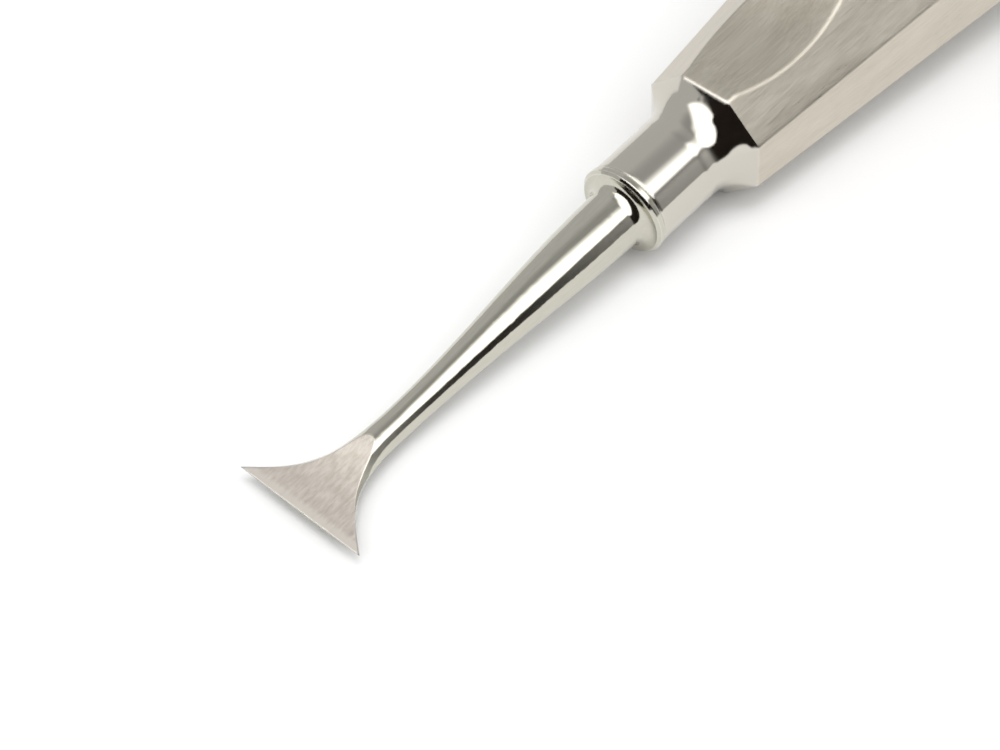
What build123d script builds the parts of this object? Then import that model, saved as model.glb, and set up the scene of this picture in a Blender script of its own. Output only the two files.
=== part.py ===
from build123d import *
import os
from math import atan, cos, pi, radians, sin, sqrt, tan

os.makedirs("parts", exist_ok=True)

# A dental elevator, lying on one facet of its grip with the blade just clear of the surface.
# Lengths in mm. "Reach" is a distance along the instrument's axis from the seam, where the
# working end meets the handle: forwards to the blade, or backwards to the butt.

# Handle
NECK_R = 4.45
NECK_LENGTH = 7.6
GRIP_FRONT_REACH = 11.0
GRIP_FRONT_ACROSS = 12.48
WIDEST_REACH = 57.0
WIDEST_ACROSS = 20.6
WIDEST_ROUND = 20.0
BUTT_REACH = 96.1
BUTT_ACROSS = 15.2
BUTT_DOME_R = 13.0
RIDGE_ROUND = 0.3
SEAM_CHAMFER = 0.1

# Flare between the neck and the octagonal grip
FLARE_COVE_R = 3.0
FLARE_SLOPE = 46.0
FLARE_STEPS = (-0.4, 0, 0.2, 0.4, 0.6, 0.8, 1)
FLARE_LATENESS = 3

# Thumb scoop in the top facet
SCOOP_REACH = 19.7
SCOOP_DEPTH = 1.25
SCOOP_LENGTHWISE_R = 26.0
SCOOP_CROSSWISE_R = 34.0

# Working end
FLANGE_R = 4.55
FLANGE_THICKNESS = 0.85
FLANGE_FRONT_CHAMFER = 0.28
SHANK_ROOT_R = 2.93
SHANK_COVE_R = 1.15
SHANK_COVE_BOW = 0.5523
TANG_R = 2.5
TANG_LENGTH = 24.0
BLADE_REACH = 41.9
FACE_HOLLOW_R = 24.0
FACE_LOW_BACK = 1.9

# Fit of the tang in its bore, and the clear space past its end
TANG_CLEARANCE = 0.02
TANG_END_SPACE = 0.5

# Sections of the shank and blade: share of the length past the cove, half width, height of the
# side corners above the axis, then the rise of the top and the drop of the underside from them.
SHANK_SECTIONS = [
    (0, SHANK_ROOT_R, 0, SHANK_ROOT_R, SHANK_ROOT_R),
    (0.1003, 2.8, 0.0, 2.8, 2.8),
    (0.2506, 2.43, -0.02, 2.43, 2.43),
    (0.4010, 1.97, -0.16, 1.97, 1.97),
    (0.5514, 1.6, -0.36, 1.6, 1.6),
    (0.6767, 1.44, -0.44, 1.44, 1.42),
    (0.7769, 1.58, -0.38, 1.42, 1.3),
    (0.8521, 2.16, -0.21, 1.19, 1.04),
    (0.9073, 3.17, -0.1, 0.89, 0.75),
    (0.9524, 4.66, -0.03, 0.62, 0.5),
    (1.0, 6.93, 0.03, 0.26, 0.24),
]

# The grip widens backwards, so lying on its bottom facet tips the axis down at the blade.
TILT = atan((WIDEST_ACROSS - GRIP_FRONT_ACROSS) / 2 / (WIDEST_REACH - GRIP_FRONT_REACH))
SEAM_HEIGHT = GRIP_FRONT_ACROSS / 2 * cos(TILT) - GRIP_FRONT_REACH * sin(TILT)
SEAM_X = 27.02
SEAM = (SEAM_X, 0, SEAM_HEIGHT)
ALONG = (cos(TILT), 0, -sin(TILT))

# Sections stand across the axis, with z towards the blade, and profiles lie upright in it.
across = Plane(origin=SEAM, x_dir=(0, 1, 0), z_dir=ALONG)
upright = Plane(origin=SEAM, x_dir=ALONG, z_dir=(0, -1, 0))
centre_line = Axis(SEAM, ALONG)


def reach_of(shape):
    """Distance of a shape's centre along the axis from the seam."""
    return across.to_local_coords(shape.center()).Z


def flare_share(step):
    """Share of the flare's rise reached at a share of its length."""
    length = GRIP_FRONT_REACH - NECK_LENGTH
    bend = FLARE_COVE_R * sin(radians(FLARE_SLOPE))

    def rise(d):
        cove = FLARE_COVE_R - sqrt(FLARE_COVE_R**2 - min(d, bend) ** 2)
        return cove + max(d - bend, 0) * tan(radians(FLARE_SLOPE))

    return rise(max(step, 0) * length) / rise(length)


with BuildPart() as handle:
    # Octagonal grip: one side outline cut from four directions leaves flat facets, which taper
    # from the widest place, where they are rounded, to the front and to the butt
    for turn in (0, pi / 4, pi / 2, 3 * pi / 4):
        cut_from = (sin(turn) * sin(TILT), -cos(turn), sin(turn) * cos(TILT))
        with BuildSketch(Plane(origin=SEAM, x_dir=ALONG, z_dir=cut_from)) as outline:
            with BuildLine():
                Polyline(
                    (-GRIP_FRONT_REACH, -GRIP_FRONT_ACROSS / 2),
                    (-GRIP_FRONT_REACH, GRIP_FRONT_ACROSS / 2),
                    (-WIDEST_REACH, WIDEST_ACROSS / 2),
                    (-BUTT_REACH, BUTT_ACROSS / 2),
                    (-BUTT_REACH, -BUTT_ACROSS / 2),
                    (-WIDEST_REACH, -WIDEST_ACROSS / 2),
                    close=True,
                )
            make_face()
            by_height = outline.vertices().group_by(Axis.Y)
            fillet(by_height[0] + by_height[-1], WIDEST_ROUND)
        extrude(amount=WIDEST_ACROSS, both=True, mode=Mode.INTERSECT if turn else Mode.ADD)

    # Ridges between the facets slightly rounded
    ridges = handle.edges().filter_by(
        lambda e: -BUTT_REACH + 1 < reach_of(e) < -GRIP_FRONT_REACH - 1
        and abs(across.to_local_coords(e @ 0).Z - across.to_local_coords(e @ 1).Z) > 0.5
    )
    fillet(ridges, RIDGE_ROUND)

    # Butt turned to a dome, past the corners of the octagon
    dome_edge = BUTT_ACROSS / 2 / cos(pi / 8) + 0.5
    dome_depth = BUTT_DOME_R - sqrt(BUTT_DOME_R**2 - dome_edge**2)
    with BuildSketch(upright):
        with BuildLine():
            RadiusArc((-BUTT_REACH, 0), (-BUTT_REACH + dome_depth, dome_edge), BUTT_DOME_R)
            Polyline(
                (-BUTT_REACH + dome_depth, dome_edge),
                (-BUTT_REACH + dome_depth, WIDEST_ACROSS),
                (0, WIDEST_ACROSS),
                (0, 0),
                (-BUTT_REACH, 0),
            )
        make_face()
    revolve(axis=centre_line, mode=Mode.INTERSECT)

    # Round neck, and a flare that stays nearly round before it straightens into the octagon
    with BuildSketch(across):
        Circle(NECK_R)
    extrude(amount=-NECK_LENGTH)
    corner_r = GRIP_FRONT_ACROSS / 2 / cos(pi / 8)
    mean_r = (corner_r + GRIP_FRONT_ACROSS / 2) / 2
    for step in FLARE_STEPS:
        size = (NECK_R + (mean_r - NECK_R) * flare_share(step)) / mean_r
        octagon = max(step, 0) ** FLARE_LATENESS
        corner = size * (mean_r + (corner_r - mean_r) * octagon)
        middle = size * (mean_r - (corner_r - mean_r) * octagon)
        reach = NECK_LENGTH + step * (GRIP_FRONT_REACH - NECK_LENGTH)
        with BuildSketch(across.offset(-reach)):
            with BuildLine():
                for side in range(8):
                    turn = radians(45 * side)
                    start = (corner * cos(turn - pi / 8), corner * sin(turn - pi / 8))
                    end = (corner * cos(turn + pi / 8), corner * sin(turn + pi / 8))
                    if step < 1:
                        ThreePointArc(start, (middle * cos(turn), middle * sin(turn)), end)
                    else:
                        Line(start, end)
            make_face()
    loft()

    # Thumb scoop: a shallow saddle sunk into the top facet and the two beside it
    facet_height = GRIP_FRONT_ACROSS / 2 + (SCOOP_REACH - GRIP_FRONT_REACH) * tan(TILT)
    scoop = Plane(
        origin=upright.from_local_coords((-SCOOP_REACH, facet_height)),
        x_dir=(0, 1, 0),
        z_dir=(cos(2 * TILT), 0, -sin(2 * TILT)),
    )
    above = SCOOP_LENGTHWISE_R - SCOOP_DEPTH
    half = GRIP_FRONT_ACROSS / 2
    side_rise = SCOOP_CROSSWISE_R - sqrt(SCOOP_CROSSWISE_R**2 - half**2) - SCOOP_DEPTH
    with BuildSketch(scoop):
        with BuildLine():
            bottom = ThreePointArc((-half, side_rise), (0, -SCOOP_DEPTH), (half, side_rise))
            Polyline(bottom @ 1, (half, above), (-half, above), bottom @ 0)
        make_face()
    revolve(axis=Axis(scoop.from_local_coords((0, above)), (0, 1, 0)), mode=Mode.SUBTRACT)

    # Bore for the tang, from the neck's front face
    with BuildSketch(across):
        Circle(TANG_R + TANG_CLEARANCE)
    extrude(amount=-TANG_LENGTH - TANG_END_SPACE, mode=Mode.SUBTRACT)
    neck_rim = handle.edges().filter_by(GeomType.CIRCLE).filter_by(
        lambda e: abs(reach_of(e)) < 0.01 and e.radius > TANG_R + 1
    )
    chamfer(neck_rim, SEAM_CHAMFER)

with BuildPart() as working_end:
    # Shank and blade: round at the root, thinning into a wide fan with a lens-shaped section
    root_reach = FLANGE_THICKNESS + SHANK_COVE_R
    for share, half, corner, rise, drop in SHANK_SECTIONS:
        with BuildSketch(across.offset(root_reach + share * (BLADE_REACH - root_reach))):
            with BuildLine():
                ThreePointArc((-half, corner), (0, corner + rise), (half, corner))
                ThreePointArc((half, corner), (0, corner - drop), (-half, corner))
            make_face()
    loft()

    # Flange that seats on the neck, with a cove up to the shank, and the hidden tang
    with BuildSketch(upright):
        with BuildLine():
            Polyline(
                (root_reach, SHANK_ROOT_R),
                (root_reach, 0),
                (0, 0),
                (0, FLANGE_R),
                (FLANGE_THICKNESS, FLANGE_R),
                (FLANGE_THICKNESS, SHANK_ROOT_R + SHANK_COVE_R),
            )
            Bezier(
                (FLANGE_THICKNESS, SHANK_ROOT_R + SHANK_COVE_R),
                (FLANGE_THICKNESS, SHANK_ROOT_R + SHANK_COVE_R * (1 - SHANK_COVE_BOW)),
                (root_reach - SHANK_COVE_R * SHANK_COVE_BOW, SHANK_ROOT_R),
                (root_reach, SHANK_ROOT_R),
            )
        make_face()
    revolve(axis=centre_line)
    with BuildSketch(across):
        Circle(TANG_R)
    extrude(amount=-TANG_LENGTH)
    rims = working_end.edges().filter_by(GeomType.CIRCLE).sort_by(lambda e: e.radius)[-2:]
    seam_rim, front_rim = rims.sort_by(reach_of)
    chamfer(seam_rim, SEAM_CHAMFER)
    chamfer(front_rim, FLANGE_FRONT_CHAMFER)

    # Hollow-ground face: a wide cylinder lying across the blade takes the top off
    with BuildSketch(upright):
        with Locations((BLADE_REACH - FACE_LOW_BACK, FACE_HOLLOW_R)):
            Circle(FACE_HOLLOW_R)
    extrude(amount=BLADE_REACH, both=True, mode=Mode.SUBTRACT)

handle.part.label = "handle"
export_step(handle.part, "parts/handle.step")
working_end.part.label = "working_end"
export_step(working_end.part, "parts/working_end.step")
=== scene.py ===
import bpy
import bmesh
from math import pi, radians
from mathutils import Matrix

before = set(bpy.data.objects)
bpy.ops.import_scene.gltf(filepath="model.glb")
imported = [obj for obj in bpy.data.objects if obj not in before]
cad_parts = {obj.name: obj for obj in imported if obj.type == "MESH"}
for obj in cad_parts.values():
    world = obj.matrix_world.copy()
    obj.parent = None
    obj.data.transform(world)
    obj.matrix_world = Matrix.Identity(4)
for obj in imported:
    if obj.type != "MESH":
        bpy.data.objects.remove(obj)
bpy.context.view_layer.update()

# Working end: one forging of stainless steel. The shank and flange are polished to a mirror, and
# the blade's upper face is hollow-ground on a wheel, which leaves a satin face with fine grain.


def colour(hex_value):
    """sRGB hex value as linear RGBA."""
    srgb = [int(hex_value[i : i + 2], 16) / 255 for i in (1, 3, 5)]
    return tuple(c / 12.92 if c <= 0.04045 else ((c + 0.055) / 1.055) ** 2.4 for c in srgb) + (1,)


def add(tree, kind, inputs=None, **settings):
    """Adds a node with its settings. An input takes a value or another node's output."""
    node = tree.nodes.new(kind)
    for name, value in settings.items():
        setattr(node, name, value)
    for name, value in (inputs or {}).items():
        if isinstance(value, bpy.types.NodeSocket):
            tree.links.new(value, node.inputs[name])
        else:
            node.inputs[name].default_value = value
    return node


# The instrument's own axis starts at the seam and dips towards the blade. Materials measure in
# millimetres along this axis, across it and above it, and "reach" is the distance along it.
SEAM = (0.02702, 0, 0.0052487)
TILT = radians(5.0439)
TO_MILLIMETRES = (0.001, 0.001, 0.001)

# Hollow-ground face: a cylinder lying across the blade, lowest at this reach. What lies within the
# first margin of it is ground, and what lies past the second one is polished.
FACE_HOLLOW_R = 24.0
FACE_LOW_REACH = 40.0
FACE_MARGINS = (0.015, 0.05)

# The wheel leaves the shank gradually, so the satin fades in from the face's back end. The last
# millimetre before the edge carries a painted highlight, a colour lighter than the rest of the
# face.
FACE_FADE_REACHES = (31.5, 35.0)
FACE_FADE_START = 0.15
BLADE_EDGE_HIGHLIGHT_REACHES = (40.8, 41.5)
BLADE_EDGE_HIGHLIGHT_SHARE = 0.7

# Wheel scratches of about 0.05 mm run lengthwise, drawn 0.3 mm wide so that they show. Lines
# left by the polishing belt are some 2 mm long and 0.25 mm wide.
SCRATCHES_PER_MM = (0.9, 3.2, 3.2)
BELT_LINES_PER_MM = (0.5, 4.0, 4.0)
GRAIN_DEPTH = 0.000006
FACE_TONES = (0.1, 0.8)
POLISH_ROUGHNESS = (0.06, 0.12)
FACE_ROUGHNESS = (0.26, 0.46)

# Most values of a noise texture lie in this range
NOISE_RANGE = (0.3, 0.7)

# Edges are rounded slightly, and where the round turns away from the flat by these cosines they
# carry a painted highlight, a lighter colour
EDGE_ROUND_R = 0.00018
ROUNDED_EDGE_HIGHLIGHT_COSINES = (0.985, 0.9)
ROUNDED_EDGE_HIGHLIGHT_SHARE = 0.7

# Polished stainless steel: it mirrors the room with hardly any blur, and the ground face spreads
# what it mirrors into a warm satin
polished = bpy.data.materials.new("polished_stainless_steel")
polished.use_nodes = True
tree = polished.node_tree
tree.nodes.clear()
place = add(tree, "ShaderNodeTexCoord")
along = add(
    tree, "ShaderNodeMapping",
    {
        "Vector": place.outputs["Object"], "Location": SEAM, "Rotation": (0, TILT, 0),
        "Scale": TO_MILLIMETRES,
    },
    vector_type="TEXTURE",
)
axes = add(tree, "ShaderNodeSeparateXYZ", {"Vector": along.outputs[0]})

# Ground where the distance from the cylinder's axis is the wheel's radius
from_low = add(
    tree, "ShaderNodeMath", {0: axes.outputs["X"], 1: FACE_LOW_REACH}, operation="SUBTRACT",
)
from_centre = add(
    tree, "ShaderNodeMath", {0: FACE_HOLLOW_R, 1: axes.outputs["Z"]}, operation="SUBTRACT",
)
flat = add(
    tree, "ShaderNodeCombineXYZ", {"X": from_low.outputs[0], "Y": from_centre.outputs[0]},
)
wheel = add(tree, "ShaderNodeVectorMath", {0: flat.outputs[0]}, operation="LENGTH")
ground = add(
    tree, "ShaderNodeMapRange",
    {
        "Value": wheel.outputs["Value"], "From Min": FACE_HOLLOW_R + FACE_MARGINS[0],
        "From Max": FACE_HOLLOW_R + FACE_MARGINS[1], "To Min": 1.0, "To Max": 0.0,
    },
    interpolation_type="SMOOTHSTEP",
)
fade_in = add(
    tree, "ShaderNodeMapRange",
    {
        "Value": axes.outputs["X"], "From Min": FACE_FADE_REACHES[0],
        "From Max": FACE_FADE_REACHES[1], "To Min": FACE_FADE_START, "To Max": 1.0,
    },
    interpolation_type="SMOOTHSTEP",
)
ground = add(
    tree, "ShaderNodeMath", {0: ground.outputs[0], 1: fade_in.outputs[0]}, operation="MULTIPLY",
)
# Painted highlight along the blade's edge: how far it reaches and how much it lightens the face
blade_edge_highlight = add(
    tree, "ShaderNodeMapRange",
    {
        "Value": axes.outputs["X"], "From Min": BLADE_EDGE_HIGHLIGHT_REACHES[0], "From Max": BLADE_EDGE_HIGHLIGHT_REACHES[1],
        "To Min": 0.0, "To Max": BLADE_EDGE_HIGHLIGHT_SHARE,
    },
    interpolation_type="SMOOTHSTEP",
)

lengthwise = add(
    tree, "ShaderNodeVectorMath", {0: along.outputs[0], 1: SCRATCHES_PER_MM}, operation="MULTIPLY",
)
scratches = add(
    tree, "ShaderNodeTexNoise",
    {"Vector": lengthwise.outputs[0], "Scale": 1.0, "Detail": 3.0, "Roughness": 0.6},
)
belt = add(
    tree, "ShaderNodeVectorMath", {0: along.outputs[0], 1: BELT_LINES_PER_MM}, operation="MULTIPLY",
)
belt_lines = add(
    tree, "ShaderNodeTexNoise",
    {"Vector": belt.outputs[0], "Scale": 1.0, "Detail": 2.0, "Roughness": 0.5},
)

# Olive grey on the polished steel and a warmer, lighter grey on the ground face
steel_colour = add(
    tree, "ShaderNodeMix",
    {"Factor": belt_lines.outputs["Fac"], "A": colour("#c1bfb2"), "B": colour("#cfccc0")},
    data_type="RGBA",
)
face_tone = add(
    tree, "ShaderNodeMapRange",
    {
        "Value": scratches.outputs["Fac"], "From Min": NOISE_RANGE[0],
        "From Max": NOISE_RANGE[1], "To Min": FACE_TONES[0], "To Max": FACE_TONES[1],
    },
)
# The painted edge highlight is added to the face's grain tone
face_tone = add(
    tree, "ShaderNodeMath", {0: face_tone.outputs[0], 1: blade_edge_highlight.outputs[0]},
    operation="ADD", use_clamp=True,
)
face_colour = add(
    tree, "ShaderNodeMix",
    {"Factor": face_tone.outputs[0], "A": colour("#dcd1c4"), "B": colour("#fcf4ea")},
    data_type="RGBA",
)
tint = add(
    tree, "ShaderNodeMix",
    {
        "Factor": ground.outputs[0], "A": steel_colour.outputs["Result"],
        "B": face_colour.outputs["Result"],
    },
    data_type="RGBA",
)

soft_edge = add(tree, "ShaderNodeBevel", {"Radius": EDGE_ROUND_R}, samples=6)
facing = add(tree, "ShaderNodeNewGeometry")
turned = add(
    tree, "ShaderNodeVectorMath", {0: soft_edge.outputs[0], 1: facing.outputs["Normal"]},
    operation="DOT_PRODUCT",
)
rounded_edge_highlight = add(
    tree, "ShaderNodeMapRange",
    {
        "Value": turned.outputs["Value"], "From Min": ROUNDED_EDGE_HIGHLIGHT_COSINES[0],
        "From Max": ROUNDED_EDGE_HIGHLIGHT_COSINES[1], "To Min": 0.0, "To Max": ROUNDED_EDGE_HIGHLIGHT_SHARE,
    },
)
# Painted highlight: the steel's colour is lightened along its rounded edges
tint = add(
    tree, "ShaderNodeMix",
    {"Factor": rounded_edge_highlight.outputs[0], "A": tint.outputs["Result"], "B": colour("#f4f1ea")},
    data_type="RGBA",
)

polish = add(
    tree, "ShaderNodeMapRange",
    {
        "Value": belt_lines.outputs["Fac"], "To Min": POLISH_ROUGHNESS[0],
        "To Max": POLISH_ROUGHNESS[1],
    },
)
satin_face = add(
    tree, "ShaderNodeMapRange",
    {"Value": scratches.outputs["Fac"], "To Min": FACE_ROUGHNESS[0], "To Max": FACE_ROUGHNESS[1]},
)
rough = add(
    tree, "ShaderNodeMix",
    {"Factor": ground.outputs[0], "A": polish.outputs[0], "B": satin_face.outputs[0]},
)
relief = add(
    tree, "ShaderNodeBump",
    {
        "Strength": ground.outputs[0], "Distance": GRAIN_DEPTH,
        "Height": scratches.outputs["Fac"], "Normal": soft_edge.outputs[0],
    },
)
shader = add(
    tree, "ShaderNodeBsdfPrincipled",
    {
        "Base Color": tint.outputs["Result"], "Metallic": 1.0,
        "Roughness": rough.outputs["Result"], "Normal": relief.outputs[0],
    },
)
add(tree, "ShaderNodeOutputMaterial", {"Surface": shader.outputs[0]})

working_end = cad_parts["working_end"]
working_end.data.materials.clear()
working_end.data.materials.append(polished)

# Handle: stainless steel. Its neck and flare are polished, and the octagonal grip and its thumb
# scoop are brushed lengthwise to a satin that does not slip in a wet glove.

# Brushing starts at the front edge of the octagon
OCTAGON_REACH = -11.0
BRUSHING_BLEND = 0.05

# The scoop is a saddle, round lengthwise about a line across the axis, and round crosswise
SCOOP_AXIS_REACH = -17.524
SCOOP_AXIS_HEIGHT = 31.662
SCOOP_LENGTHWISE_R = 26.0
SCOOP_CROSSWISE_R = 34.0
SCOOP_BLEND = (0.02, 0.16)

# Brush marks of about 0.05 mm, drawn 0.2 mm wide and several millimetres long so that they show.
# Broad patches lie where the brush pressed harder.
BRUSH_MARKS_PER_MM = (0.22, 5.0, 5.0)
PATCHES_PER_MM = (0.1, 0.5, 0.5)
PATCHES_SHARE = 0.4
NECK_ROUGHNESS = 0.07
BRUSHED_ROUGHNESS = (0.26, 0.4)
SCOOP_ROUGHNESS = 0.42

# Ridges are rounded slightly and carry a painted highlight, a lighter colour where the round turns
RIDGE_ROUND_R = 0.0006
RIDGE_HIGHLIGHT_COSINES = (0.995, 0.95)
RIDGE_HIGHLIGHT_SHARE = 0.12

# Brushed stainless steel: warm grey streaks along the grip that blur what it mirrors
satin = bpy.data.materials.new("brushed_stainless_steel")
satin.use_nodes = True
tree = satin.node_tree
tree.nodes.clear()
place = add(tree, "ShaderNodeTexCoord")
along = add(
    tree, "ShaderNodeMapping",
    {
        "Vector": place.outputs["Object"], "Location": SEAM, "Rotation": (0, TILT, 0),
        "Scale": TO_MILLIMETRES,
    },
    vector_type="TEXTURE",
)
axes = add(tree, "ShaderNodeSeparateXYZ", {"Vector": along.outputs[0]})
brushed = add(
    tree, "ShaderNodeMapRange",
    {
        "Value": axes.outputs["X"], "From Min": OCTAGON_REACH - BRUSHING_BLEND,
        "From Max": OCTAGON_REACH + BRUSHING_BLEND, "To Min": 1.0, "To Max": 0.0,
    },
)

# In the scoop, the distance from its line and the fall of the crosswise curve add up to the
# lengthwise radius
from_low = add(
    tree, "ShaderNodeMath", {0: axes.outputs["X"], 1: SCOOP_AXIS_REACH}, operation="SUBTRACT",
)
from_centre = add(
    tree, "ShaderNodeMath", {0: axes.outputs["Z"], 1: SCOOP_AXIS_HEIGHT}, operation="SUBTRACT",
)
flat = add(
    tree, "ShaderNodeCombineXYZ", {"X": from_low.outputs[0], "Y": from_centre.outputs[0]},
)
saddle = add(tree, "ShaderNodeVectorMath", {0: flat.outputs[0]}, operation="LENGTH")
width = add(tree, "ShaderNodeMath", {0: axes.outputs["Y"], 1: 2.0}, operation="POWER")
crown = add(
    tree, "ShaderNodeMath", {0: SCOOP_CROSSWISE_R**2, 1: width.outputs[0]}, operation="SUBTRACT",
)
crown = add(tree, "ShaderNodeMath", {0: crown.outputs[0]}, operation="SQRT")
outside = add(
    tree, "ShaderNodeMath", {0: saddle.outputs["Value"], 1: crown.outputs[0]},
    operation="SUBTRACT",
)
scoop_surface = SCOOP_LENGTHWISE_R - SCOOP_CROSSWISE_R
scooped = add(
    tree, "ShaderNodeMapRange",
    {
        "Value": outside.outputs[0], "From Min": scoop_surface + SCOOP_BLEND[0],
        "From Max": scoop_surface + SCOOP_BLEND[1], "To Min": 1.0, "To Max": 0.0,
    },
    interpolation_type="SMOOTHSTEP",
)

lengthwise = add(
    tree, "ShaderNodeVectorMath", {0: along.outputs[0], 1: BRUSH_MARKS_PER_MM},
    operation="MULTIPLY",
)
marks = add(
    tree, "ShaderNodeTexNoise",
    {"Vector": lengthwise.outputs[0], "Scale": 1.0, "Detail": 4.0, "Roughness": 0.65},
)
patches = add(
    tree, "ShaderNodeVectorMath", {0: along.outputs[0], 1: PATCHES_PER_MM}, operation="MULTIPLY",
)
patches = add(
    tree, "ShaderNodeTexNoise", {"Vector": patches.outputs[0], "Scale": 1.0, "Detail": 2.0},
)
marks_tone = add(
    tree, "ShaderNodeMapRange",
    {"Value": marks.outputs["Fac"], "From Min": NOISE_RANGE[0], "From Max": NOISE_RANGE[1]},
)
patches_tone = add(
    tree, "ShaderNodeMapRange",
    {"Value": patches.outputs["Fac"], "From Min": NOISE_RANGE[0], "From Max": NOISE_RANGE[1]},
)
brushed_tone = add(
    tree, "ShaderNodeMix",
    {"Factor": PATCHES_SHARE, "A": marks_tone.outputs[0], "B": patches_tone.outputs[0]},
)

# The scoop is a darker olive grey than the grip, painted shade in its hollow, and the neck a
# lighter one
grip_colour = add(
    tree, "ShaderNodeMix",
    {"Factor": brushed_tone.outputs["Result"], "A": colour("#c0b9ab"), "B": colour("#d8d1c4")},
    data_type="RGBA",
)
scoop_painted_shade_colour = add(
    tree, "ShaderNodeMix",
    {"Factor": brushed_tone.outputs["Result"], "A": colour("#b5ae9f"), "B": colour("#d6d0c2")},
    data_type="RGBA",
)
# Painted shade: inside the scoop, the darker colour takes the place of the grip's colour
brushed_colour = add(
    tree, "ShaderNodeMix",
    {
        "Factor": scooped.outputs[0], "A": grip_colour.outputs["Result"],
        "B": scoop_painted_shade_colour.outputs["Result"],
    },
    data_type="RGBA",
)
tint = add(
    tree, "ShaderNodeMix",
    {
        "Factor": brushed.outputs[0], "A": colour("#cdc9bf"),
        "B": brushed_colour.outputs["Result"],
    },
    data_type="RGBA",
)

soft_edge = add(tree, "ShaderNodeBevel", {"Radius": RIDGE_ROUND_R}, samples=8)
facing = add(tree, "ShaderNodeNewGeometry")
turned = add(
    tree, "ShaderNodeVectorMath", {0: soft_edge.outputs[0], 1: facing.outputs["Normal"]},
    operation="DOT_PRODUCT",
)
ridge_highlight = add(
    tree, "ShaderNodeMapRange",
    {
        "Value": turned.outputs["Value"], "From Min": RIDGE_HIGHLIGHT_COSINES[0],
        "From Max": RIDGE_HIGHLIGHT_COSINES[1], "To Min": 0.0, "To Max": RIDGE_HIGHLIGHT_SHARE,
    },
)
# Painted highlight: the steel's colour is lightened along the grip's rounded ridges
tint = add(
    tree, "ShaderNodeMix",
    {"Factor": ridge_highlight.outputs[0], "A": tint.outputs["Result"], "B": colour("#f2eee6")},
    data_type="RGBA",
)

brush_rough = add(
    tree, "ShaderNodeMapRange",
    {
        "Value": brushed_tone.outputs["Result"], "To Min": BRUSHED_ROUGHNESS[0],
        "To Max": BRUSHED_ROUGHNESS[1],
    },
)
brush_rough = add(
    tree, "ShaderNodeMix",
    {"Factor": scooped.outputs[0], "A": brush_rough.outputs[0], "B": SCOOP_ROUGHNESS},
)
rough = add(
    tree, "ShaderNodeMix",
    {"Factor": brushed.outputs[0], "A": NECK_ROUGHNESS, "B": brush_rough.outputs["Result"]},
)
relief = add(
    tree, "ShaderNodeBump",
    {
        "Strength": brushed.outputs[0], "Distance": GRAIN_DEPTH, "Height": marks.outputs["Fac"],
        "Normal": soft_edge.outputs[0],
    },
)
shader = add(
    tree, "ShaderNodeBsdfPrincipled",
    {
        "Base Color": tint.outputs["Result"], "Metallic": 1.0,
        "Roughness": rough.outputs["Result"], "Normal": relief.outputs[0],
    },
)
add(tree, "ShaderNodeOutputMaterial", {"Surface": shader.outputs[0]})

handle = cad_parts["handle"]
handle.data.materials.clear()
handle.data.materials.append(satin)

# Table: a plain pale surface that keeps the instrument's shadow. It glows a little, to camera,
# glossy and transmission rays alone, so that it stays white at the picture's edges.

TABLE_HALF_WIDTH = 3
TABLE_GLOW = 0.06

white = bpy.data.materials.new("white_table")
white.use_nodes = True
tree = white.node_tree
tree.nodes.clear()
ray = add(tree, "ShaderNodeLightPath")
seen = add(
    tree, "ShaderNodeMath",
    {0: ray.outputs["Is Camera Ray"], 1: ray.outputs["Is Glossy Ray"]}, operation="MAXIMUM",
)
seen = add(
    tree, "ShaderNodeMath", {0: seen.outputs[0], 1: ray.outputs["Is Transmission Ray"]},
    operation="MAXIMUM",
)
lift = add(tree, "ShaderNodeMath", {0: seen.outputs[0], 1: TABLE_GLOW}, operation="MULTIPLY")
matte = add(tree, "ShaderNodeBsdfDiffuse", {"Color": colour("#dfdfdf")})
glow = add(
    tree, "ShaderNodeEmission", {"Color": colour("#ffffff"), "Strength": lift.outputs[0]},
)
both = add(tree, "ShaderNodeAddShader", {0: matte.outputs[0], 1: glow.outputs[0]})
add(tree, "ShaderNodeOutputMaterial", {"Surface": both.outputs[0]})

shape = bmesh.new()
bmesh.ops.create_grid(shape, x_segments=1, y_segments=1, size=TABLE_HALF_WIDTH)
table_mesh = bpy.data.meshes.new("table")
shape.to_mesh(table_mesh)
shape.free()
table = bpy.data.objects.new("table", table_mesh)
bpy.context.scene.collection.objects.link(table)
table_mesh.materials.append(white)

# Studio: grey walls, darker towards the ceiling, and one large soft panel above, on the camera's
# side. The steel mirrors the walls as its mid greys and the panel as its white stripes.

WALL_STRENGTH = 0.62
CEILING_STRENGTH = 0.4
# Where the walls give way to the ceiling, as sines of the angle above the table
WALL_TO_CEILING = (0.75, 0.97)
PANEL_LENGTH = 1.6
PANEL_WIDTH = 0.92
PANEL_BRIGHTNESS = 1.68
PANEL_PLACE = (0.245, 0.245, 0.6)
PANEL_TURN = radians(-45)
# The cloth is thinner towards its edges, so the light fades over the last 160 mm of each side
PANEL_FADE_SHARES = (("X", 0.1), ("Y", 0.174))

world = bpy.data.worlds.new("studio")
bpy.context.scene.world = world
world.use_nodes = True
tree = world.node_tree
tree.nodes.clear()
place = add(tree, "ShaderNodeTexCoord")
axes = add(tree, "ShaderNodeSeparateXYZ", {"Vector": place.outputs["Generated"]})
height = add(
    tree, "ShaderNodeMapRange",
    {
        "Value": axes.outputs["Z"], "From Min": WALL_TO_CEILING[0],
        "From Max": WALL_TO_CEILING[1],
        "To Min": WALL_STRENGTH, "To Max": CEILING_STRENGTH,
    },
    interpolation_type="SMOOTHSTEP",
)
background = add(
    tree, "ShaderNodeBackground", {"Color": colour("#ffffff"), "Strength": height.outputs[0]},
)
add(tree, "ShaderNodeOutputWorld", {"Surface": background.outputs[0]})

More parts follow.
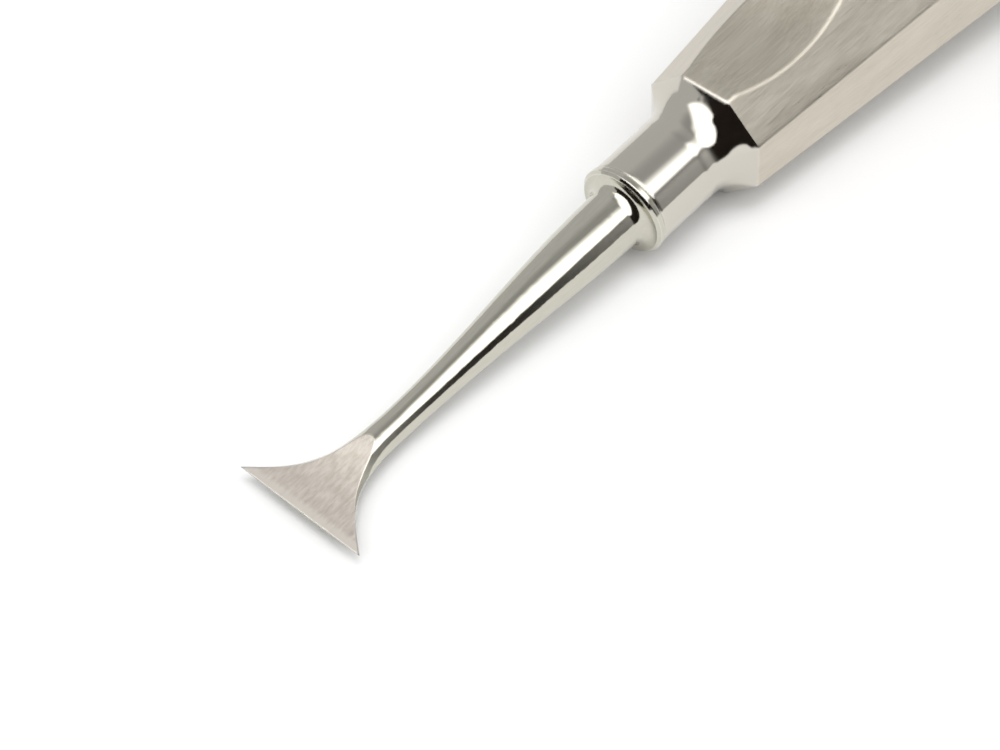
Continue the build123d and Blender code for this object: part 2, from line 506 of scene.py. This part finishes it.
panel = bpy.data.lights.new("soft_panel", "AREA")
panel.shape = "RECTANGLE"
panel.size = PANEL_LENGTH
panel.size_y = PANEL_WIDTH
panel.energy = PANEL_BRIGHTNESS * pi * PANEL_LENGTH * PANEL_WIDTH
panel.use_nodes = True
tree = panel.node_tree
tree.nodes.clear()
cloth_place = add(tree, "ShaderNodeNewGeometry")
cloth_axes = add(tree, "ShaderNodeSeparateXYZ", {"Vector": cloth_place.outputs["Parametric"]})
fades = []
for side, share in PANEL_FADE_SHARES:
    from_middle = add(
        tree, "ShaderNodeMath", {0: cloth_axes.outputs[side], 1: 0.5}, operation="SUBTRACT",
    )
    from_middle = add(tree, "ShaderNodeMath", {0: from_middle.outputs[0]}, operation="ABSOLUTE")
    lit = add(
        tree, "ShaderNodeMapRange",
        {
            "Value": from_middle.outputs[0], "From Min": 0.5 - share, "From Max": 0.5,
            "To Min": 1.0, "To Max": 0.0,
        },
        interpolation_type="SMOOTHSTEP",
    )
    fades.append(lit.outputs[0])
fade = add(tree, "ShaderNodeMath", {0: fades[0], 1: fades[1]}, operation="MULTIPLY")
cloth_light = add(
    tree, "ShaderNodeEmission", {"Color": colour("#ffffff"), "Strength": fade.outputs[0]},
)
add(tree, "ShaderNodeOutputLight", {"Surface": cloth_light.outputs[0]})
panel_object = bpy.data.objects.new("soft_panel", panel)
bpy.context.scene.collection.objects.link(panel_object)
panel_object.location = PANEL_PLACE
panel_object.rotation_euler = (0, 0, PANEL_TURN)

# Ceiling lamp: weak and nearly overhead. It gives the table the shadow close under the steel,
# and is kept out of the steel's reflections.

CEILING_LAMP_BRIGHTNESS = 0.3
CEILING_LAMP_SPREAD = radians(30)
CEILING_LAMP_LEAN = radians(5)
CEILING_LAMP_BEARING = radians(60)

ceiling = bpy.data.lights.new("ceiling_lamp", "SUN")
ceiling.energy = CEILING_LAMP_BRIGHTNESS * pi
ceiling.angle = CEILING_LAMP_SPREAD
ceiling_object = bpy.data.objects.new("ceiling_lamp", ceiling)
bpy.context.scene.collection.objects.link(ceiling_object)
ceiling_object.rotation_euler = (0, CEILING_LAMP_LEAN, CEILING_LAMP_BEARING)
ceiling_object.visible_glossy = False

# Dark side of the room: a black cloth hung in an arc past the blade and behind the camera, thinner
# at its far end. The steel mirrors it as a dark patch on the flare and a dark stripe along the
# shank.

CLOTH_DISTANCE = 0.9
CLOTH_HEIGHT = 0.68
CLOTH_START = radians(-32)
CLOTH_ARC = radians(170)
CLOTH_STEPS = 34
CLOTH_THINS_FROM = radians(98)
CLOTH_THINS_TO = radians(134)

black = bpy.data.materials.new("black_flag")
black.use_nodes = True
tree = black.node_tree
tree.nodes.clear()
place = add(tree, "ShaderNodeTexCoord")
axes = add(tree, "ShaderNodeSeparateXYZ", {"Vector": place.outputs["Object"]})
bearing = add(
    tree, "ShaderNodeMath", {0: axes.outputs["Y"], 1: axes.outputs["X"]}, operation="ARCTAN2",
)
thin = add(
    tree, "ShaderNodeMapRange",
    {"Value": bearing.outputs[0], "From Min": CLOTH_THINS_FROM, "From Max": CLOTH_THINS_TO},
    interpolation_type="SMOOTHSTEP",
)
shade = add(
    tree, "ShaderNodeMix",
    {"Factor": thin.outputs[0], "A": colour("#241f1c"), "B": colour("#e2e2e2")},
    data_type="RGBA",
)
cloth = add(tree, "ShaderNodeBsdfDiffuse", {"Color": shade.outputs["Result"]})
add(tree, "ShaderNodeOutputMaterial", {"Surface": cloth.outputs[0]})

shape = bmesh.new()
shape.verts.new((CLOTH_DISTANCE, 0, 0))
bmesh.ops.rotate(
    shape, verts=shape.verts, cent=(0, 0, 0), matrix=Matrix.Rotation(CLOTH_START, 3, "Z"),
)
bmesh.ops.spin(
    shape, geom=shape.verts[:], cent=(0, 0, 0), axis=(0, 0, 1), angle=CLOTH_ARC,
    steps=CLOTH_STEPS, use_merge=False,
)
hem = bmesh.ops.extrude_edge_only(shape, edges=shape.edges[:])
bmesh.ops.translate(
    shape, verts=[v for v in hem["geom"] if isinstance(v, bmesh.types.BMVert)],
    vec=(0, 0, CLOTH_HEIGHT),
)
flag_mesh = bpy.data.meshes.new("black_flag")
shape.to_mesh(flag_mesh)
shape.free()
flag = bpy.data.objects.new("black_flag", flag_mesh)
bpy.context.scene.collection.objects.link(flag)
flag_mesh.materials.append(black)
flag.visible_camera = False

# Camera: from above and in front of the blade, close, with a long lens, so that the butt's end
# of the grip is outside the picture

CAMERA_LENS = 89.82
CAMERA_PLACE = (0.149775, 0.095431, 0.165826)
CAMERA_TURN = (radians(40.1666), radians(0.1357), radians(131.8940))

camera_data = bpy.data.cameras.new("camera")
camera_data.sensor_width = 36
camera_data.lens = CAMERA_LENS
camera_data.clip_start = 0.01
camera_data.clip_end = 20
camera = bpy.data.objects.new("camera", camera_data)
bpy.context.scene.collection.objects.link(camera)
camera.location = CAMERA_PLACE
camera.rotation_euler = CAMERA_TURN
bpy.context.scene.camera = camera

bpy.context.scene.view_settings.view_transform = "Standard"
